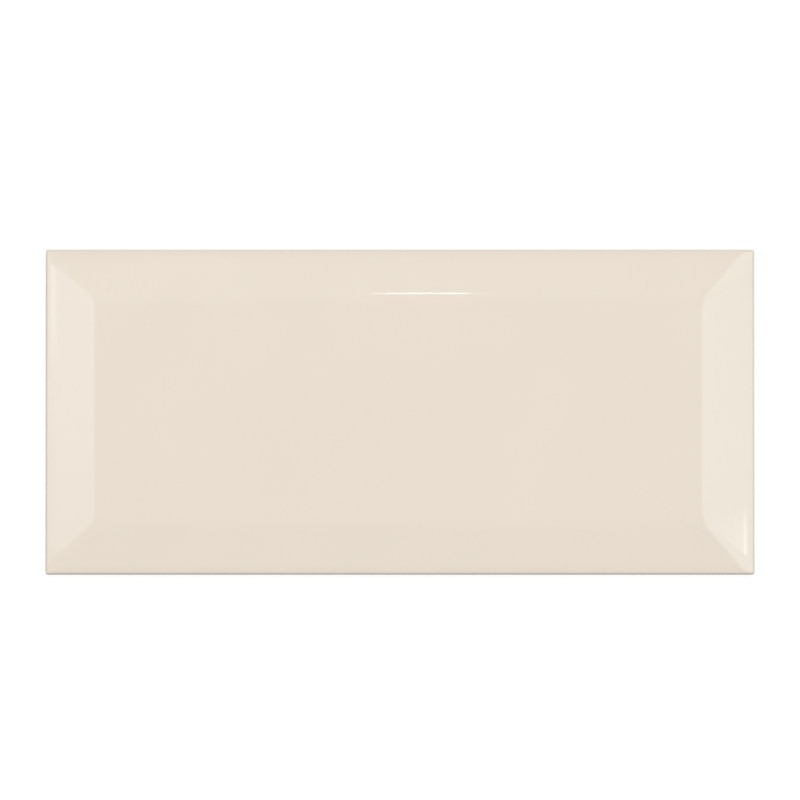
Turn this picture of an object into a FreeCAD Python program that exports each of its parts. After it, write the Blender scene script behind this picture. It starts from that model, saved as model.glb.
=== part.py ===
import FreeCAD, Part
import math
import os

# A bevelled ceramic wall tile, dust-pressed and fired as one piece.
# It lies on its back: +X runs along its length, +Y up its height as it is set on a wall,
# and +Z out of the glazed face. The origin is the middle of the back.

# Outline and thickness, in millimetres
tile_length = 218.0
tile_height = 100.0
side_height = 5.0       # from the back up to where the bevel would meet the side
bevel_rise = 3.0        # from there up to the flat middle of the face
bevel_width = 15.3      # from the side in to where the bevel would meet the flat middle

# Softened edges, as the press punch leaves them and the glaze rounds them
crease_radius = 16.0    # between the flat middle and the bevels
mitre_radius = 4.0      # between two bevels, along a corner
rim_radius = 2.0        # between a bevel and the upright side
corner_radius = 0.6     # between two sides, seen from the front
back_chamfer = 0.5      # between the sides and the back

# Key on the back: shallow pockets that the adhesive grips, with ribs left between them
key_depth = 0.8
key_border = 5.0        # plain band inside the sides
key_rib = 3.0           # width of a rib where it touches the wall
key_pitch_goal = 22.0   # the pockets are as near to this far apart as fills the back evenly
key_wall_run = 0.5      # how far a pocket's wall leans in over its depth
key_floor_radius = 2.5  # corners of a pocket's floor

SAME_PLACE = 1e-6


def edges_at_height(shape, height):
    """The edges that lie level at one height."""
    return [
        edge
        for edge in shape.Edges
        if all(abs(vertex.Z - height) < SAME_PLACE for vertex in edge.Vertexes)
    ]


def run(edge):
    """From one end of an edge to the other."""
    return edge.Vertexes[-1].Point - edge.Vertexes[0].Point


def is_upright(edge):
    return math.hypot(run(edge).x, run(edge).y) < SAME_PLACE < abs(run(edge).z)


def corner_edges(shape):
    """The upright edges where two sides of the tile meet."""
    return [edge for edge in shape.Edges if is_upright(edge)]


def mitre_edges(shape):
    """The straight edges where two bevels meet, which climb in at 45 degrees from the corners."""
    found = []
    for edge in shape.Edges:
        step = run(edge)
        diagonal = abs(abs(step.x) - abs(step.y)) < SAME_PLACE
        if diagonal and abs(step.x) > bevel_width / 2 and abs(step.z) > SAME_PLACE:
            found.append(edge)
    return found


def rim_edges(shape):
    """The edges along the top of the upright sides."""
    found = []
    for edge in shape.Edges:
        middle = edge.valueAt((edge.FirstParameter + edge.LastParameter) / 2)
        past_x = abs(abs(middle.x) - tile_length / 2)
        past_y = abs(abs(middle.y) - tile_height / 2)
        on_side = min(past_x, past_y) < SAME_PLACE
        if on_side and middle.z > side_height / 2 and not is_upright(edge):
            found.append(edge)
    return found


def pressed_blank():
    """The tile with its bevels and softened edges, and a plain back."""
    thickness = side_height + bevel_rise
    corner = FreeCAD.Vector(-tile_length / 2, -tile_height / 2, 0)
    blank = Part.makeBox(tile_length, tile_height, thickness, corner)
    blank = blank.makeChamfer(bevel_rise, bevel_width, edges_at_height(blank, thickness))
    blank = blank.makeChamfer(back_chamfer, edges_at_height(blank, 0))
    blank = blank.makeFillet(crease_radius, edges_at_height(blank, thickness))
    blank = blank.makeFillet(mitre_radius, mitre_edges(blank))
    blank = blank.makeFillet(rim_radius, rim_edges(blank))
    return blank.makeFillet(corner_radius, corner_edges(blank))


def rounded_rectangle(length, height, radius, z):
    """A closed wire round the origin at height z, with its corners as arcs."""
    x, y = length / 2, height / 2
    middle = radius * (1 - math.sqrt(0.5))
    edges = []
    for sx, sy in ((1, 1), (-1, 1), (-1, -1), (1, -1)):
        ends = [
            FreeCAD.Vector(sx * x, sy * (y - radius), z),
            FreeCAD.Vector(sx * (x - radius), sy * y, z),
        ]
        if sx * sy < 0:
            ends.reverse()
        through = FreeCAD.Vector(sx * (x - middle), sy * (y - middle), z)
        edges.append(Part.Arc(ends[0], through, ends[1]).toShape())
    sides = [
        Part.LineSegment(edges[i].Vertexes[-1].Point, edges[(i + 1) % 4].Vertexes[0].Point).toShape()
        for i in range(4)
    ]
    return Part.Wire([edge for pair in zip(edges, sides) for edge in pair])


def key_pocket(length, height):
    """The space of one pocket of the key: its mouth on the back is wider than its floor."""
    mouth = rounded_rectangle(length, height, key_floor_radius + key_wall_run, 0)
    floor_length = length - 2 * key_wall_run
    floor_height = height - 2 * key_wall_run
    floor = rounded_rectangle(floor_length, floor_height, key_floor_radius, key_depth)
    return Part.makeLoft([mouth, floor], True, True)


def key_row(extent):
    """The pitch and the middles of an even number of pockets, so that a rib runs along the centre."""
    span = extent - 2 * key_border + key_rib
    count = 2 * max(1, round(span / key_pitch_goal / 2))
    pitch = span / count
    return pitch, [(i - (count - 1) / 2) * pitch for i in range(count)]


def key_pockets():
    """The grid of pockets that fills the back evenly inside its border."""
    pitch_x, columns = key_row(tile_length)
    pitch_y, rows = key_row(tile_height)
    pocket = key_pocket(pitch_x - key_rib, pitch_y - key_rib)
    print("key:", len(columns), "by", len(rows), "pockets,", pitch_x, "by", pitch_y, "mm apart")
    return [pocket.translated(FreeCAD.Vector(x, y, 0)) for x in columns for y in rows]


def wall_tile():
    return pressed_blank().cut(key_pockets())


os.makedirs("parts", exist_ok=True)
tile = wall_tile()
print("wall_tile: volume", round(tile.Volume / 1000, 2), "cm3, valid", tile.isValid())
tile.exportStep("parts/wall_tile.step")
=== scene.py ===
# %% [markdown]
# # A bevelled wall tile
# This lesson dresses one cream wall tile. The real thing is a slab of pressed clay, fired with a
# gloss glaze fused to its face. A frame made elsewhere holds its exact size, so everything here is
# measured from that frame, in metres.

# %% Load the frame
import math
from collections import namedtuple

import bmesh
import bpy
from mathutils import Matrix, Vector, noise


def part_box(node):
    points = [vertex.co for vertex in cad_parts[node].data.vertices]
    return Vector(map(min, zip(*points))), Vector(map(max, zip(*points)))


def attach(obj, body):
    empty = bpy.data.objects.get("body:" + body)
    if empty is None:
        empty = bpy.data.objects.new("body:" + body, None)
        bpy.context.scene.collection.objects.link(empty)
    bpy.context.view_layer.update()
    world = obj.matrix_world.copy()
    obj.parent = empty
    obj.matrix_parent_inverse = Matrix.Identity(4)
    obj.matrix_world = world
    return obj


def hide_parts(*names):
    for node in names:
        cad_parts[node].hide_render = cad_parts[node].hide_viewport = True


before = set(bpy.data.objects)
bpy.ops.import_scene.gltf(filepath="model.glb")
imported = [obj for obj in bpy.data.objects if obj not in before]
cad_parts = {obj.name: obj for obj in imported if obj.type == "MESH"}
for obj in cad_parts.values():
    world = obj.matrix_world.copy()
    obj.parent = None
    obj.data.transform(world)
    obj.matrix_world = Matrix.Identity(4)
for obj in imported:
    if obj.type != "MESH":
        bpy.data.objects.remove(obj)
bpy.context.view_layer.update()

MM = 0.001
half_length, half_height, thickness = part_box("wall_tile")[1]
print("half length, half height, thickness:", half_length, half_height, thickness)

# %% [markdown]
# ## The camera comes first
# The photograph looks almost straight down on the glazed face. Its outline is a rectangle with no
# visible convergence, so the camera stands far away and has a very long lens. A thin strip of the
# lower side shows, so the camera leans a few degrees towards the tile's lower edge. It comes first,
# because the lights are placed later by what it sees mirrored.

# %% Place the camera
PHOTO_PIXELS = 800
TILE_WIDTH_PIXELS = 708.5
TILE_CENTRE_BELOW_MIDDLE_PIXELS = 11.9
CAMERA_LEAN = math.radians(3.5)
LENS_MM = 800.0
SENSOR_MM = 36.0

metres_per_pixel = 2 * half_length / TILE_WIDTH_PIXELS
view_width = PHOTO_PIXELS * metres_per_pixel
camera_distance = view_width * LENS_MM / SENSOR_MM
aim = Vector((0, TILE_CENTRE_BELOW_MIDDLE_PIXELS * metres_per_pixel, thickness / 2))

camera_data = bpy.data.cameras.new("photo_camera")
camera_data.lens = LENS_MM
camera_data.sensor_width = SENSOR_MM
camera = bpy.data.objects.new("photo_camera", camera_data)
camera.location = aim + camera_distance * Vector((0, -math.sin(CAMERA_LEAN), math.cos(CAMERA_LEAN)))
camera.rotation_euler = (CAMERA_LEAN, 0, 0)
bpy.context.scene.collection.objects.link(camera)
bpy.context.scene.camera = camera
print("camera distance:", round(camera_distance, 3))

# %% [markdown]
# ## Outlines that grow into a solid
# A cube with bevelled edges would come close to a tile, but a bevel makes all its edges equally
# round, and here the creases, mitres and rims differ. Cut level at any height, the tile is a rectangle
# with rounded corners. So the whole skin can be drawn the way a modeller would in edit mode: start with
# one rounded face, extrude its border, and move each new border to its own size, height and corner
# radius. The same two helpers make the shallow pockets in the back.

# %% Helpers for rounded outlines
CORNER_STEPS = 8
Outline = namedtuple("Outline", "half_x half_y radius height")


def rounded_face(solid, outline):
    """One flat face with rounded corners. Gives back its border."""
    start = bmesh.ops.create_grid(solid, x_segments=1, y_segments=1, size=1.0)["verts"]
    bmesh.ops.scale(solid, verts=start, vec=(outline.half_x, outline.half_y, 1))
    bmesh.ops.translate(solid, verts=start, vec=(0, 0, outline.height))
    made = bmesh.ops.bevel(
        solid, geom=start, offset=outline.radius, offset_type="OFFSET", affect="VERTICES",
        segments=CORNER_STEPS, profile=0.5, material=-1,
    )
    faces = {face for vert in made["verts"] for face in vert.link_faces}
    return [edge for face in faces for edge in face.edges]


def corner_centre(outline, side_x, side_y):
    """The middle of the arc that rounds one corner."""
    x = side_x * (outline.half_x - outline.radius)
    y = side_y * (outline.half_y - outline.radius)
    return Vector((x, y, outline.height))


def extrude_border(solid, border, old, new):
    """Extrudes a border from its old outline to a new one. Gives back the new border."""
    made = bmesh.ops.extrude_edge_only(solid, edges=border)["geom"]
    verts = {item for item in made if isinstance(item, bmesh.types.BMVert)}
    growth = new.radius / old.radius
    for side_x, side_y in ((1, 1), (-1, 1), (-1, -1), (1, -1)):
        corner = [v for v in verts if v.co.x * side_x > 0 and v.co.y * side_y > 0]
        before = corner_centre(old, side_x, side_y)
        after = corner_centre(new, side_x, side_y)
        bmesh.ops.scale(solid, verts=corner, vec=(growth, growth, 1), space=Matrix.Translation(-before))
        bmesh.ops.translate(solid, verts=corner, vec=after - before)
    edges = [item for item in made if isinstance(item, bmesh.types.BMEdge)]
    return [edge for edge in edges if all(vert in verts for vert in edge.verts)]


print("points on a rounded corner:", CORNER_STEPS + 1)

# %% [markdown]
# ## The profile of the face
# From the flat middle outwards, a tile's section runs level, turns down over a soft crease, slopes
# along the bevel, rolls a little steeper and goes round the rim into the upright side. Every turn is
# an arc, so the section is listed as points on arcs, each with its inset from the side and its height.

# %% The section, from the flat middle to the side
BEVEL_WIDTH = 15.3 * MM
BEVEL_RISE = 3.0 * MM
BEVEL_STEPS = 6
CREASE_RADIUS = 22.0 * MM
CREASE_STEPS = 12
ROLL_RADIUS = 18.0 * MM
ROLL_END = math.radians(21.0)
ROLL_STEPS = 6
RIM_RADIUS = 1.0 * MM
RIM_STEPS = 12

slope = math.atan2(BEVEL_RISE, BEVEL_WIDTH)
side_height = thickness - BEVEL_RISE


def arc(centre, radius, start, end, steps):
    """Points on an arc of the section. Angles are measured from upright, leaning towards the side."""
    angles = [start + (end - start) * step / steps for step in range(steps + 1)]
    return [(centre[0] - radius * math.sin(a), centre[1] + radius * math.cos(a)) for a in angles]


def face_section():
    """Pairs of inset and height: the crease, the bevel, the gentle roll and the rim."""
    crease_inset = BEVEL_WIDTH + CREASE_RADIUS * math.tan(slope / 2)
    crease_centre = (crease_inset, thickness - CREASE_RADIUS)
    crease = arc(crease_centre, CREASE_RADIUS, 0, slope, CREASE_STEPS)
    rim_width = RIM_RADIUS * (1 - math.sin(ROLL_END))
    roll_start = rim_width + ROLL_RADIUS * (math.sin(ROLL_END) - math.sin(slope))
    roll_centre = (
        roll_start + ROLL_RADIUS * math.sin(slope),
        side_height + roll_start * math.tan(slope) - ROLL_RADIUS * math.cos(slope),
    )
    roll = arc(roll_centre, ROLL_RADIUS, slope, ROLL_END, ROLL_STEPS)
    bevel = []
    for step in range(1, BEVEL_STEPS):
        share = step / BEVEL_STEPS
        inset = crease[-1][0] + share * (roll[0][0] - crease[-1][0])
        bevel.append((inset, side_height + inset * math.tan(slope)))
    rim_centre = (RIM_RADIUS, roll[-1][1] - RIM_RADIUS * math.cos(ROLL_END))
    rim = arc(rim_centre, RIM_RADIUS, ROLL_END, math.pi / 2, RIM_STEPS)
    return crease + bevel + roll + rim[1:]


section = face_section()
print("section points:", len(section), "rim ends at height", round(section[-1][1] / MM, 3), "mm")

# %% [markdown]
# ## How round the corners are
# Glaze also rounds the mitres, where two bevels meet. That comes from the corners of the borders: a
# short table pairs an inset from the side with the border's roundness there, in millimetres. It is
# tight at the side, where two pressed edges meet, widest just inside it, and narrow again where the
# mitre reaches the flat middle. Between two pairs it changes evenly.

# %% Outlines with their corners
CORNERS_MM = ((0, 0.6), (1.5, 3.3), (5, 2.7), (13, 1.3), (18, 3.2))


def corner_radius_at(inset):
    """How round a border is in its corners, read off the table."""
    for (near, near_radius), (far, far_radius) in zip(CORNERS_MM, CORNERS_MM[1:]):
        if inset <= far * MM:
            share = (inset / MM - near) / (far - near)
            return (near_radius + share * (far_radius - near_radius)) * MM
    return CORNERS_MM[-1][1] * MM


def outline_at(inset, height):
    """A border of the face."""
    return Outline(half_length - inset, half_height - inset, corner_radius_at(inset), height)


def side_outline(inset, height):
    """A border below the rim, where the corners run parallel to the upright sides."""
    return Outline(half_length - inset, half_height - inset, corner_radius_at(0) - inset, height)


print("corner radii in mm:", [round(corner_radius_at(inset) / MM, 2) for inset, _ in section[::6]])

# %% [markdown]
# ## Where the glaze stops
# Glaze is poured over the face and runs a few millimetres down the sides, where it ends in a lip a
# little proud of the bare clay. A change of material alone would look printed there, so the lip is a
# real step: two borders close together. Below them come the bare side and the small rounding at the
# back.

# %% The skin from the flat middle down to the back
GLAZE_LINE = 2.2 * MM
GLAZE_LIP = 0.06 * MM
BACK_ROUNDING = 0.35 * MM
BACK_STEPS = 4
GLAZE, CLAY = 0, 1


def build_skin(solid):
    """The face and the sides. Gives back the two borders of the lip."""
    steps = [outline_at(inset, height) for inset, height in section]
    border = rounded_face(solid, steps[0])
    for old, new in zip(steps, steps[1:]):
        border = extrude_border(solid, border, old, new)
    lip_top = side_outline(0, GLAZE_LINE)
    lip_bottom = side_outline(GLAZE_LIP, GLAZE_LINE - GLAZE_LIP)
    top_border = extrude_border(solid, border, steps[-1], lip_top)
    bottom_border = extrude_border(solid, top_border, lip_top, lip_bottom)
    glazed = list(solid.faces)
    centre = (GLAZE_LIP + BACK_ROUNDING, BACK_ROUNDING)
    last = lip_bottom
    border = bottom_border
    for inset, height in arc(centre, BACK_ROUNDING, math.pi / 2, math.pi, BACK_STEPS):
        outline = side_outline(inset, height)
        border = extrude_border(solid, border, last, outline)
        last = outline
    for face in solid.faces:
        face.material_index = CLAY
    for face in glazed:
        face.material_index = GLAZE
    return top_border, bottom_border


tile = bmesh.new()
lip_borders = build_skin(tile)
print("skin:", len(tile.verts), "vertices,", len(tile.faces), "faces")

# %% [markdown]
# ## A lip that wanders
# Poured glaze never stops in a straight line. The lip's long edges are cut into short lengths, which
# smooth noise then raises or lowers, both borders together. Its edges are sharp, so that the lip
# catches the light and doesn't tilt the shading of the side above it.

# %% Let the lip wander
LIP_PIECE = 1.5 * MM
LIP_WANDER = 0.45 * MM
LIP_WAVES = 90.0
FINE_WAVES = 4 * LIP_WAVES
FINE_SHARE = 0.3
FINE_LAYER = 0.5


def wander_lip(solid, top_border, bottom_border):
    """Cuts the lip's long edges into short ones, then raises or lowers them together."""
    for edge in top_border + bottom_border:
        edge.smooth = False
    for along_x in (True, False):
        length = 2 * (half_length if along_x else half_height)
        long_edges = []
        for edge in top_border + bottom_border:
            run = edge.verts[1].co - edge.verts[0].co
            if abs(run[0 if along_x else 1]) > length / 2:
                long_edges.append(edge)
        cuts = round(length / LIP_PIECE)
        bmesh.ops.subdivide_edges(solid, edges=long_edges, cuts=cuts, use_single_edge=False)
    lip_low = GLAZE_LINE - 2 * GLAZE_LIP
    for vert in solid.verts:
        if lip_low < vert.co.z < GLAZE_LINE + GLAZE_LIP:
            wave = noise.noise(Vector((vert.co.x, vert.co.y, 0)) * LIP_WAVES)
            fine = noise.noise(Vector((vert.co.x, vert.co.y, FINE_LAYER)) * FINE_WAVES)
            vert.co.z += LIP_WANDER * (wave + FINE_SHARE * fine)


wander_lip(tile, *lip_borders)
print("skin with its lip:", len(tile.verts), "vertices,", len(tile.faces), "faces")

# %% [markdown]
# ## The key on the back
# The back is pressed into shallow pockets that the adhesive grips. Cut out with a boolean, they would
# still need their edges softened, so one pocket is built from its floor outwards with the same helpers,
# and copied to its places. The flat ribs between the pockets have an odd shape, so they are filled in
# one step: all open borders lie in the plane of the back, and a triangle fill closes the space between
# them.

# %% One pocket
KEY_DEPTH = 0.8 * MM
KEY_BORDER = 5.0 * MM
KEY_RIB = 3.0 * MM
KEY_COLUMNS = 10
KEY_ROWS = 4
KEY_MOUTH_RADIUS = 3.0 * MM
KEY_WALL_RUN = 0.5 * MM
KEY_SOFTNESS = 0.2 * MM
KEY_TURN_STEPS = 3

key_pitch_x = (2 * (half_length - KEY_BORDER) + KEY_RIB) / KEY_COLUMNS
key_pitch_y = (2 * (half_height - KEY_BORDER) + KEY_RIB) / KEY_ROWS


def pocket_outlines():
    """From the floor's flat middle out to the mouth, with both turns of the wall softened."""
    lean = math.atan2(KEY_WALL_RUN, KEY_DEPTH)
    turn = math.pi / 2 - lean
    reach = KEY_SOFTNESS * math.tan(turn / 2)
    mouth = arc((-reach, KEY_SOFTNESS), KEY_SOFTNESS, math.pi, math.pi + turn, KEY_TURN_STEPS)
    floor_centre = (KEY_WALL_RUN + reach, KEY_DEPTH - KEY_SOFTNESS)
    floor = arc(floor_centre, KEY_SOFTNESS, 0, turn, KEY_TURN_STEPS)
    outlines = []
    for inset, height in floor + mouth[::-1]:
        half_x = (key_pitch_x - KEY_RIB) / 2 - inset
        half_y = (key_pitch_y - KEY_RIB) / 2 - inset
        outlines.append(Outline(half_x, half_y, KEY_MOUTH_RADIUS - inset, height))
    return outlines


def build_pocket(solid):
    outlines = pocket_outlines()
    border = rounded_face(solid, outlines[0])
    for old, new in zip(outlines, outlines[1:]):
        border = extrude_border(solid, border, old, new)


print("pockets are", round(key_pitch_x / MM, 2), "by", round(key_pitch_y / MM, 2), "mm apart")

# %% All pockets, and the ribs between them
def add_pockets(solid):
    """Copies one pocket to every place of the grid."""
    pocket = bmesh.new()
    build_pocket(pocket)
    pocket_mesh = bpy.data.meshes.new("pocket")
    for column in range(KEY_COLUMNS):
        for row in range(KEY_ROWS):
            x = (column - (KEY_COLUMNS - 1) / 2) * key_pitch_x
            y = (row - (KEY_ROWS - 1) / 2) * key_pitch_y
            bmesh.ops.translate(pocket, verts=pocket.verts, vec=(x, y, 0))
            pocket.to_mesh(pocket_mesh)
            bmesh.ops.translate(pocket, verts=pocket.verts, vec=(-x, -y, 0))
            solid.from_mesh(pocket_mesh)
    pocket.free()
    bpy.data.meshes.remove(pocket_mesh)


def sort_faces(solid):
    """Puts the faces in a fixed order, because extrusions list theirs in another one each run."""
    solid.verts.index_update()
    count = len(solid.verts)

    def rank(face):
        first, second, third = sorted(vert.index for vert in face.verts)[:3]
        return (first * count + second) * count + third

    solid.faces.sort(key=rank)


skin_faces = set(tile.faces)
add_pockets(tile)
open_borders = [edge for edge in tile.edges if edge.is_boundary]
bmesh.ops.triangle_fill(tile, use_beauty=True, edges=open_borders)
for face in set(tile.faces) - skin_faces:
    face.material_index = CLAY
bmesh.ops.recalc_face_normals(tile, faces=tile.faces)
sort_faces(tile)
open_edges = sum(1 for edge in tile.edges if not edge.is_manifold)
volume = round(tile.calc_volume() / (10 * MM) ** 3, 2)
print("tile:", len(tile.faces), "faces,", open_edges, "open edges,", volume, "cm3")

# %% [markdown]
# ## One object
# The tile is one fired piece, so it is one object. Its flats are single large faces between narrow
# arcs. Smooth shading alone would smear the arcs' light over the flats, so weighted normals let the
# larger face decide at each shared edge.

# %% Make the object
LARGER_FACE_DECIDES = 100

tile_mesh = bpy.data.meshes.new("glazed_tile")
tile.to_mesh(tile_mesh)
tile.free()
for polygon in tile_mesh.polygons:
    polygon.use_smooth = True
glazed_tile = bpy.data.objects.new("glazed_tile", tile_mesh)
bpy.context.scene.collection.objects.link(glazed_tile)
shading = glazed_tile.modifiers.new("flat_faces_stay_flat", "WEIGHTED_NORMAL")
shading.weight = LARGER_FACE_DECIDES
shading.keep_sharp = True

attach(glazed_tile, "root")
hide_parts("wall_tile")
print("object:", glazed_tile.name, "with", len(tile_mesh.vertices), "vertices")

# %% [markdown]
# ## Building blocks for node trees
# Every finish and light below is a tree of nodes, and most of its nodes map one range to another,
# calculate or mix two colours. A helper makes each of these, so that a finish reads as a list of what
# is done to what. Each term is a number, a colour or another node's output.

# %% Helpers for node trees
def feed(tree, socket, term):
    """Links an input to another node's output, or sets it to a plain value."""
    if isinstance(term, bpy.types.NodeSocket):
        tree.links.new(term, socket)
    else:
        socket.default_value = term


def map_range(tree, value, from_min=0.0, from_max=1.0, to_min=0.0, to_max=1.0, smooth=False):
    """A value moved from one range to another, and kept inside it."""
    node = tree.nodes.new("ShaderNodeMapRange")
    if smooth:
        node.interpolation_type = "SMOOTHSTEP"
    terms = {"Value": value, "From Min": from_min, "From Max": from_max, "To Min": to_min, "To Max": to_max}
    for socket_name, term in terms.items():
        feed(tree, node.inputs[socket_name], term)
    return node.outputs["Result"]


def calculate(tree, operation, *terms):
    """One step of arithmetic."""
    node = tree.nodes.new("ShaderNodeMath")
    node.operation = operation
    for socket, term in zip(node.inputs, terms):
        feed(tree, socket, term)
    return node.outputs[0]


def mix_colours(tree, share, first, second):
    """The first colour where the share is 0, and the second where it is 1."""
    node = tree.nodes.new("ShaderNodeMix")
    node.data_type = "RGBA"
    feed(tree, node.inputs["Factor"], share)
    feed(tree, node.inputs["A"], first)
    feed(tree, node.inputs["B"], second)
    return node.outputs["Result"]


def along(tree, place, axis):
    """One coordinate of a place."""
    node = tree.nodes.new("ShaderNodeSeparateXYZ")
    tree.links.new(place, node.inputs["Vector"])
    return node.outputs[axis]


# %% [markdown]
# ## Clay tone, shared by both finishes
# Fired clay is never one even colour: its tone drifts over a few centimetres and it holds tiny darker
# specks. Noise makes the drift, and a Voronoi texture the specks, a soft dot in a few of its cells.
# Both read the object's own coordinates, so they need no unwrapping and keep their scale. The glaze is
# almost opaque, so the same pattern shows through it very faintly. Two materials need it, so it
# becomes a node group with its own inputs.

# %% Drifting tone
CLOUDS_SCALE = 35.0
CLOUDS_DETAIL = 3.0


def own_place(tree):
    """The object's own coordinates, so that a pattern stays on the piece."""
    return tree.nodes.new("ShaderNodeTexCoord").outputs["Object"]


def noise_value(tree, place, scale, detail):
    """Smooth noise between 0 and 1."""
    node = tree.nodes.new("ShaderNodeTexNoise")
    node.inputs["Scale"].default_value = scale
    node.inputs["Detail"].default_value = detail
    tree.links.new(place, node.inputs["Vector"])
    return node.outputs["Fac"]


def drifting_tone(group, place, colour, amount):
    """The colour made a little lighter and darker in soft clouds."""
    clouds = noise_value(group, place, CLOUDS_SCALE, CLOUDS_DETAIL)
    level = calculate(group, "MULTIPLY_ADD", calculate(group, "SUBTRACT", clouds, 0.5), amount, 1.0)
    toned = group.nodes.new("ShaderNodeVectorMath")
    toned.operation = "SCALE"
    group.links.new(colour, toned.inputs[0])
    group.links.new(level, toned.inputs["Scale"])
    return toned.outputs["Vector"]


print("clouds are about", round(1 / CLOUDS_SCALE / MM), "mm wide")

# %% Specks
SPECK_CELLS = 420.0
SPECK_RIM = 0.16
SPECK_CORE = 0.05
CELLS_WITHOUT_SPECK = 0.86
SPECK_COLOUR = (0.16, 0.09, 0.05, 1)


def speck_mask(group, place):
    """A small soft dot in the middle of a few of many cells."""
    cells = group.nodes.new("ShaderNodeTexVoronoi")
    cells.inputs["Scale"].default_value = SPECK_CELLS
    group.links.new(place, cells.inputs["Vector"])
    near = map_range(group, cells.outputs["Distance"], SPECK_RIM, SPECK_CORE, smooth=True)
    chance = group.nodes.new("ShaderNodeSeparateColor")
    group.links.new(cells.outputs["Color"], chance.inputs["Color"])
    few = calculate(group, "GREATER_THAN", chance.outputs["Red"], CELLS_WITHOUT_SPECK)
    return calculate(group, "MULTIPLY", near, few)


print("a cell with or without a speck is", round(1 / SPECK_CELLS / MM, 1), "mm wide")

# %% The shared node group
def new_group(name, inputs, outputs):
    """An empty group with named inputs, their defaults, and named outputs."""
    group = bpy.data.node_groups.new(name, "ShaderNodeTree")
    for socket_name, socket_type, default in inputs:
        socket = group.interface.new_socket(socket_name, in_out="INPUT", socket_type=socket_type)
        socket.default_value = default
    for socket_name, socket_type in outputs:
        group.interface.new_socket(socket_name, in_out="OUTPUT", socket_type=socket_type)
    return group


def clay_tone_group():
    """Takes a colour and gives it back with drifting tone and scattered specks."""
    group = new_group(
        "clay_tone",
        [
            ("Colour", "NodeSocketColor", (0.8, 0.8, 0.8, 1)),
            ("Drift", "NodeSocketFloat", 0.05),
            ("Specks", "NodeSocketFloat", 0.3),
        ],
        [("Colour", "NodeSocketColor")],
    )
    source = group.nodes.new("NodeGroupInput")
    result = group.nodes.new("NodeGroupOutput")
    place = own_place(group)
    toned = drifting_tone(group, place, source.outputs["Colour"], source.outputs["Drift"])
    strength = calculate(group, "MULTIPLY", speck_mask(group, place), source.outputs["Specks"])
    spotted = mix_colours(group, strength, toned, SPECK_COLOUR)
    group.links.new(spotted, result.inputs["Colour"])
    return group


clay_tone = clay_tone_group()
print("clay tone:", len(clay_tone.nodes), "nodes")

# %% [markdown]
# ## Helpers for finishes
# Both finishes start in the same way: a new material, the clay tone with its own values, and fine
# relief that is too small to model. Each kind of relief is noise with a scale, a detail and a depth,
# and a bump can be laid over an earlier one.

# %% Helpers for materials
Relief = namedtuple("Relief", "scale detail depth")


def new_material(name):
    material = bpy.data.materials.new(name)
    material.use_nodes = True
    return material, material.node_tree, material.node_tree.nodes["Principled BSDF"]


def toned_clay(tree, colour, drift, specks):
    """A colour with the clay tone laid over it."""
    node = tree.nodes.new("ShaderNodeGroup")
    node.node_tree = clay_tone
    node.inputs["Colour"].default_value = colour
    node.inputs["Drift"].default_value = drift
    node.inputs["Specks"].default_value = specks
    return node.outputs["Colour"]


def bump(tree, place, relief, before=None):
    """A bump as deep as its relief says, laid over an earlier one if there is one."""
    node = tree.nodes.new("ShaderNodeBump")
    node.inputs["Strength"].default_value = 1.0
    node.inputs["Distance"].default_value = relief.depth
    tree.links.new(noise_value(tree, place, relief.scale, relief.detail), node.inputs["Height"])
    if before is not None:
        tree.links.new(before, node.inputs["Normal"])
    return node.outputs["Normal"]


# %% [markdown]
# ## The glaze
# Glaze is glass with white and cream pigment in it: a plain diffuse colour under a sharp reflection,
# which is what one Principled shader gives. It is not optically flat. It settles in long, very low
# waves, and a finer skin of ripples blurs what it mirrors. Both are too low to change the outline, so
# they are bumps. Where the glaze thins out at the lip on the sides, the clay's own colour comes through.

# %% Glaze material
GLAZE_COLOUR = (0.803, 0.718, 0.607, 1)
GLAZE_DRIFT = 0.03
GLAZE_SPECKS = 0.04
GLAZE_ROUGHNESS = 0.045
GLAZE_IOR = 1.5
GLAZE_THINS_FROM = 3.2 * MM
GLAZE_THIN_AT = 1.6 * MM
WAVES = Relief(28.0, 1.0, 0.02 * MM)
RIPPLES = Relief(420.0, 2.0, 0.0008 * MM)
CLAY_COLOUR = (0.600, 0.520, 0.420, 1)


def glaze_material():
    material, tree, shader = new_material("cream_glaze")
    place = own_place(tree)
    tone = toned_clay(tree, GLAZE_COLOUR, GLAZE_DRIFT, GLAZE_SPECKS)
    thin = map_range(tree, along(tree, place, "Z"), GLAZE_THINS_FROM, GLAZE_THIN_AT, smooth=True)
    tree.links.new(mix_colours(tree, thin, tone, CLAY_COLOUR), shader.inputs["Base Color"])
    shader.inputs["Roughness"].default_value = GLAZE_ROUGHNESS
    shader.inputs["IOR"].default_value = GLAZE_IOR
    ripples = bump(tree, place, RIPPLES, before=bump(tree, place, WAVES))
    tree.links.new(ripples, shader.inputs["Normal"])
    return material


glaze = glaze_material()
print("glaze:", len(glaze.node_tree.nodes), "nodes")

# %% [markdown]
# ## The bare clay
# The sides below the lip and the whole back are unglazed. Pressed powder leaves a dry, fine grain
# with small open pits, and the ribs that slide on the kiln's rollers are rubbed paler in patches. The
# rubbing is told from the height alone: only what lies within a quarter of a millimetre of the back's
# plane can have touched a roller.

# %% Clay material
CLAY_DRIFT = 0.25
CLAY_SPECKS = 0.6
CLAY_ROUGHNESS = 0.85
CLAY_SHINE = 0.3
RUBBED_COLOUR = (0.78, 0.74, 0.68, 1)
RUBBED_UP_TO = 0.25 * MM
RUBBED_SHARE = 0.45
PATCHES_SCALE = 60.0
PATCHES_DETAIL = 4.0
PATCHES_FROM = 0.35
PATCHES_TO = 0.65
GRAIN = Relief(2200.0, 3.0, 0.05 * MM)
PITS = Relief(600.0, 4.0, 0.06 * MM)


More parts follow.
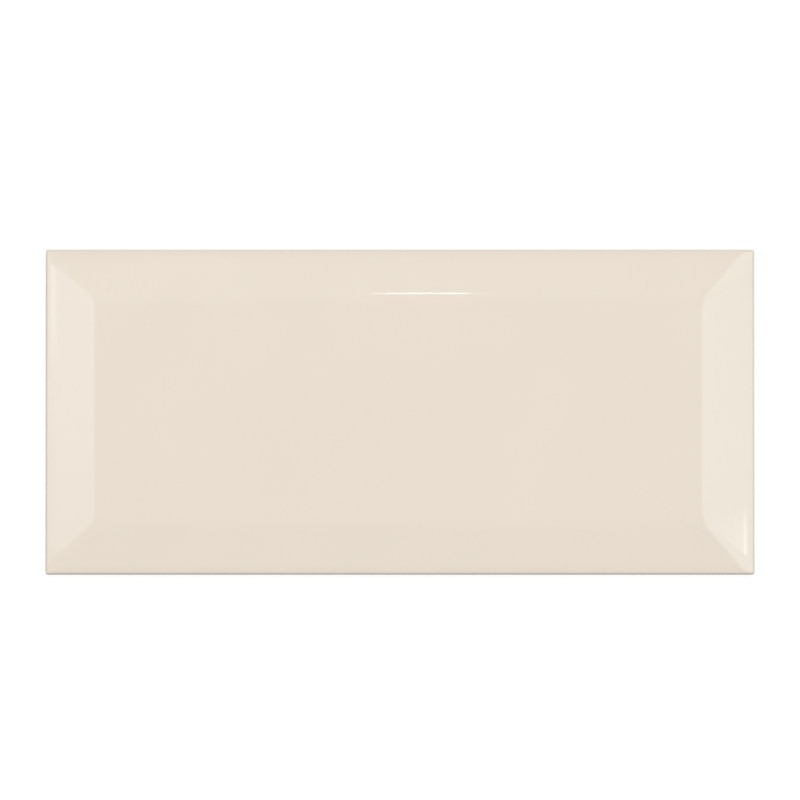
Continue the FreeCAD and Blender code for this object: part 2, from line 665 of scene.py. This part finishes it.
def clay_material():
    material, tree, shader = new_material("bare_clay")
    place = own_place(tree)
    tone = toned_clay(tree, CLAY_COLOUR, CLAY_DRIFT, CLAY_SPECKS)
    rubbed = map_range(tree, along(tree, place, "Z"), RUBBED_UP_TO, 0.0, to_max=RUBBED_SHARE)
    clouds = noise_value(tree, place, PATCHES_SCALE, PATCHES_DETAIL)
    wear = calculate(tree, "MULTIPLY", rubbed, map_range(tree, clouds, PATCHES_FROM, PATCHES_TO))
    tree.links.new(mix_colours(tree, wear, tone, RUBBED_COLOUR), shader.inputs["Base Color"])
    shader.inputs["Roughness"].default_value = CLAY_ROUGHNESS
    shader.inputs["Specular IOR Level"].default_value = CLAY_SHINE
    pits = bump(tree, place, PITS, before=bump(tree, place, GRAIN))
    tree.links.new(pits, shader.inputs["Normal"])
    return material


clay = clay_material()
for finish in (glaze, clay):
    glazed_tile.data.materials.append(finish)
print("clay:", len(clay.node_tree.nodes), "nodes")

# %% [markdown]
# ## The floor
# The photograph's background is pure white right up to the tile. The floor is white, and for the
# camera it is lifted by a glow, over which the tile's soft shadow still falls. The glaze mirrors the
# floor as a plain pale sheet, dark where the tile shades it, and that draws the fine dark line along
# the lower side. The photograph's rims are palest at the top and darkest at the bottom, so painted
# light makes the sheet paler past the tile's upper and right sides, and painted shade makes it darker
# past its lower one. The rims mirror this colour, and it also bounces onto the tile.

# %% The floor's tone
FLOOR_BOUNCE = 0.36
FLOOR_MIRRORED = 0.4
FLOOR_SHADOW_SHARE = 0.27
FLOOR_GLOW = 0.80
# Painted light and shade: the sheet's colour is paler past the upper and right sides and darker past the
# lower one.
PAINTED_LIGHT_PAST_SIDES = (("X", half_length, 2.2), ("Y", half_height, 2.0), ("Y", -half_height, 0.65))
PAINTED_LIGHT_STARTS = 0.98


def painted_floor_light(tree):
    """Painted light and shade on the sheet: how pale it is past three sides of the tile, against 1
    elsewhere.
    """
    place = own_place(tree)
    tone = 1.0
    for axis, side, past in PAINTED_LIGHT_PAST_SIDES:
        tone = map_range(tree, along(tree, place, axis), PAINTED_LIGHT_STARTS * side, side, tone, past)
    return tone


def any_mirror(tree, rays):
    """1 for what gloss or glass shows, and 0 for the rest."""
    return calculate(tree, "MAXIMUM", rays.outputs["Is Glossy Ray"], rays.outputs["Is Transmission Ray"])


print("floor tones:", [past for _, _, past in PAINTED_LIGHT_PAST_SIDES])

# %% [markdown]
# ## Three looks for one floor
# Light Path tells who looks at the floor. Light and mirrors meet the sheet with its painted light and
# shade. The camera meets white: part of it is a glow, and the rest takes the shadow. And from below
# the floor is clear, so that the back of the tile can be looked at.

# %% The floor's material
def floor_material():
    material, tree, unused_shader = new_material("white_floor")
    nodes, links = tree.nodes, tree.links
    nodes.remove(unused_shader)
    rays = nodes.new("ShaderNodeLightPath")

    level = map_range(tree, any_mirror(tree, rays), to_min=FLOOR_BOUNCE, to_max=FLOOR_MIRRORED)
    lit = nodes.new("ShaderNodeBsdfDiffuse")
    # The colour that light and mirrors meet carries painted light and shade past three sides of the tile.
    links.new(calculate(tree, "MULTIPLY", level, painted_floor_light(tree)), lit.inputs["Color"])

    shadow = nodes.new("ShaderNodeBsdfDiffuse")
    shadow.inputs["Color"].default_value = (FLOOR_SHADOW_SHARE,) * 3 + (1,)
    glow = nodes.new("ShaderNodeEmission")
    glow.inputs["Strength"].default_value = FLOOR_GLOW
    white = nodes.new("ShaderNodeAddShader")
    links.new(shadow.outputs[0], white.inputs[0])
    links.new(glow.outputs[0], white.inputs[1])
    seen = nodes.new("ShaderNodeMixShader")
    links.new(rays.outputs["Is Camera Ray"], seen.inputs[0])
    links.new(lit.outputs[0], seen.inputs[1])
    links.new(white.outputs[0], seen.inputs[2])

    side = nodes.new("ShaderNodeNewGeometry")
    clear = nodes.new("ShaderNodeBsdfTransparent")
    both = nodes.new("ShaderNodeMixShader")
    links.new(side.outputs["Backfacing"], both.inputs[0])
    links.new(seen.outputs[0], both.inputs[1])
    links.new(clear.outputs[0], both.inputs[2])
    links.new(both.outputs[0], nodes["Material Output"].inputs["Surface"])
    return material


white_floor = floor_material()
print("floor material:", len(white_floor.node_tree.nodes), "nodes")

# %% [markdown]
# ## A floor with a window
# The floor is one large face with a window cut into it, just smaller than the tile. Light from below
# reaches the back through it, and no view from above shows it. An inset of the face and a scaling of
# the inner part give the window its size.

# %% Lay the floor
FLOOR_HALF = 3.0
FLOOR_GAP = 0.05 * MM
WINDOW_INSET = 0.6 * MM

ground = bmesh.new()
bmesh.ops.create_grid(ground, x_segments=1, y_segments=1, size=FLOOR_HALF)
bmesh.ops.translate(ground, verts=ground.verts, vec=(0, 0, -FLOOR_GAP))
ground.faces.ensure_lookup_table()
window = ground.faces[0]
bmesh.ops.inset_individual(ground, faces=[window], thickness=FLOOR_HALF / 2, use_even_offset=True)
narrowing = [2 * (half - WINDOW_INSET) / FLOOR_HALF for half in (half_length, half_height)]
bmesh.ops.scale(ground, verts=window.verts, vec=(*narrowing, 1))
window_corner = max(vert.co.x for vert in window.verts), max(vert.co.y for vert in window.verts)
print("floor window:", [round(2 * half / MM, 2) for half in window_corner], "mm")
bmesh.ops.delete(ground, geom=[window], context="FACES_ONLY")
floor_mesh = bpy.data.meshes.new("floor")
ground.to_mesh(floor_mesh)
ground.free()
floor = bpy.data.objects.new("floor", floor_mesh)
floor.data.materials.append(white_floor)
bpy.context.scene.collection.objects.link(floor)

# %% [markdown]
# ## Light
# A gloss surface shows its lights, so each one is placed by what the tile mirrors. The helper takes a
# spot on the tile and the way the surface faces there, and puts a glowing card where the camera sees
# it mirrored. The cards' edges fade, as a softbox's do. They show only as reflections: the even light
# that gives the glaze its colour comes from the room.

# %% Helpers for cards
def mirrored_from(spot, facing):
    """The direction that the camera sees in a mirror at this spot."""
    towards = (camera.location - spot).normalized()
    return (2 * towards.dot(facing) * facing - towards).normalized()


def facing_spot(place, spot):
    """The turn of a card that shines on a spot, with its height along the tile's height."""
    back = (place - spot).normalized()
    across = Vector((0, 1, 0)).cross(back).normalized()
    return Matrix((across, back.cross(across), back)).transposed().to_euler()


def fade_edges(light, fades):
    """Dims an area light towards its edges: -X, +X, -Y, +Y, over these shares of its size."""
    light.use_nodes = True
    tree = light.node_tree
    place = tree.nodes.new("ShaderNodeNewGeometry").outputs["Parametric"]
    low_x, high_x, low_y, high_y = fades
    edges = (("X", 0, low_x), ("X", 1, 1 - high_x), ("Y", 0, low_y), ("Y", 1, 1 - high_y))
    total = 1.0
    for axis, edge, inside in edges:
        ramp = map_range(tree, along(tree, place, axis), edge, inside, smooth=True)
        total = calculate(tree, "MULTIPLY", total, ramp)
    tree.links.new(total, tree.nodes["Emission"].inputs["Strength"])


print("the flat middle mirrors", [round(part, 2) for part in mirrored_from(aim, Vector((0, 0, 1)))])

# %% A card placed by its reflection
CARD_DISTANCE = 0.5


def card(name, spot, lean, size, glow, fades, colour=(1, 1, 1), slide=0.0, distance=CARD_DISTANCE):
    """A glowing card. lean is the surface's tilt at the spot in degrees along x and y, size is the
    card's width and height, and slide moves it along the tile's height."""
    spot = Vector(spot)
    slopes = [math.tan(math.radians(angle)) for angle in lean]
    facing = Vector((*slopes, 1)).normalized()
    shift = Vector((0, slide, 0))
    place = spot + distance * mirrored_from(spot, facing) + shift
    light = bpy.data.lights.new(name, "AREA")
    light.shape = "RECTANGLE"
    light.size, light.size_y = size
    light.color = colour
    light.energy = glow * math.pi * size[0] * size[1]
    fade_edges(light, fades)
    thing = bpy.data.objects.new(name, light)
    thing.location = place
    thing.rotation_euler = facing_spot(place, spot + shift)
    thing.visible_camera = False
    thing.visible_diffuse = False
    bpy.context.scene.collection.objects.link(thing)
    print("card:", name, "at", [round(part, 3) for part in place])


# %% [markdown]
# ## Seven cards
# Two large cool softboxes light up the left and the right bevel, and two faint ones lie over the
# middle and the upper left corner. The small ones are for the highlights: a strip along the left rim,
# a spot near the lower end of the right one, and a bright glint that makes the streak in the crease.

# %% Hang the cards
LEFT_COOL = (0.78, 0.88, 1.0)
RIGHT_COOL = (0.68, 0.96, 1.0)
BEVEL_SPOT_INSET = 8 * MM
BEVEL_SPOT_HEIGHT = 6.5 * MM

card(
    "left_softbox", spot=(-half_length + BEVEL_SPOT_INSET, 0, BEVEL_SPOT_HEIGHT), lean=(-15.6, 0),
    size=(0.40, 0.29), glow=1.98, fades=(0.15, 0.11, 0.48, 0.45), colour=LEFT_COOL, slide=0.020,
)
card(
    "right_softbox", spot=(half_length - BEVEL_SPOT_INSET, 0, BEVEL_SPOT_HEIGHT), lean=(16.3, 0),
    size=(0.58, 0.70), glow=1.85, fades=(0.14, 0.30, 0.1, 0.1), colour=RIGHT_COOL,
)
card(
    "overhead_fill", spot=(-10 * MM, 0, thickness), lean=(0, 9.8),
    size=(0.50, 0.42), glow=0.4, fades=(0.45, 0.45, 0.45, 0.3),
)
card(
    "corner_fill", spot=(-half_length + 11 * MM, half_height - 8 * MM, 6 * MM), lean=(-5.5, 5.5),
    size=(0.34, 0.36), glow=0.50, fades=(0.45, 0.45, 0.45, 0.45),
)
card(
    "rim_strip", spot=(-half_length + 2.5 * MM, half_height - 14 * MM, 5 * MM), lean=(-15.6, 0),
    size=(0.17, 0.06), glow=1.5, fades=(0.45, 0.4, 0.4, 0.3),
)
card(
    "rim_spot", spot=(half_length - 3.2 * MM, -half_height + 9.2 * MM, 5.5 * MM), lean=(13.6, 0),
    size=(0.13, 0.028), glow=3.0, fades=(0.45, 0.45, 0.4, 0.4),
)
card(
    "crease_glint", spot=(8.4 * MM, half_height - 13.7 * MM, thickness - 0.3 * MM), lean=(0, 9.75),
    size=(0.037, 0.024), glow=20.0, fades=(0.2, 0.25, 0.3, 0.3), distance=0.8,
)

# %% [markdown]
# ## The room
# Everything else the tile sees is a white room. It lights the tile more from overhead than from the
# sides, as a studio with a pale ceiling does, so that the upright sides are darker than the face. The
# brightest part is a little towards the tile's upper edge. Under the floor's window there is light too,
# which reaches the back alone. What the glaze mirrors is set apart from what lights it: white overhead
# and darker towards the foot of the walls, so that the bevels still stand out when seen from low down.

# %% World
LIGHT_FROM_SIDES = 0.30
LIGHT_FROM_OVERHEAD = 1.36
LIGHT_FROM_BELOW = 1.15
BELOW = -0.3
BRIGHTEST = Vector((0, 0.09, 1))
MIRRORED_OVERHEAD = 1.0
MIRRORED_AT_HORIZON = 0.25
WALL_TOP = 0.7
BACKDROP = 1.0


def room_strength(tree):
    """How bright the room is in each direction: for light, for mirrors and for the camera."""
    upwards = tree.nodes.new("ShaderNodeVectorMath")
    upwards.operation = "DOT_PRODUCT"
    upwards.inputs[1].default_value = BRIGHTEST.normalized()
    direction = tree.nodes.new("ShaderNodeTexCoord")
    tree.links.new(direction.outputs["Generated"], upwards.inputs[0])
    rise = upwards.outputs["Value"]
    rays = tree.nodes.new("ShaderNodeLightPath")
    ceiling = map_range(tree, rise, to_min=LIGHT_FROM_SIDES, to_max=LIGHT_FROM_OVERHEAD)
    light = map_range(tree, rise, from_max=BELOW, to_min=ceiling, to_max=LIGHT_FROM_BELOW)
    walls = map_range(
        tree, rise, from_max=WALL_TOP, to_min=MIRRORED_AT_HORIZON, to_max=MIRRORED_OVERHEAD,
    )
    shown = map_range(tree, any_mirror(tree, rays), to_min=light, to_max=walls)
    return map_range(tree, rays.outputs["Is Camera Ray"], to_min=shown, to_max=BACKDROP)


world = bpy.data.worlds.new("white_room")
bpy.context.scene.world = world
world.use_nodes = True
room = world.node_tree.nodes["Background"]
room.inputs["Color"].default_value = (1, 1, 1, 1)
world.node_tree.links.new(room_strength(world.node_tree), room.inputs["Strength"])
print("room:", len(world.node_tree.nodes), "nodes")

# %% [markdown]
# ## Finish
# The Standard view transform shows each colour about as it is written.

# %% Colour management
bpy.context.scene.view_settings.view_transform = "Standard"
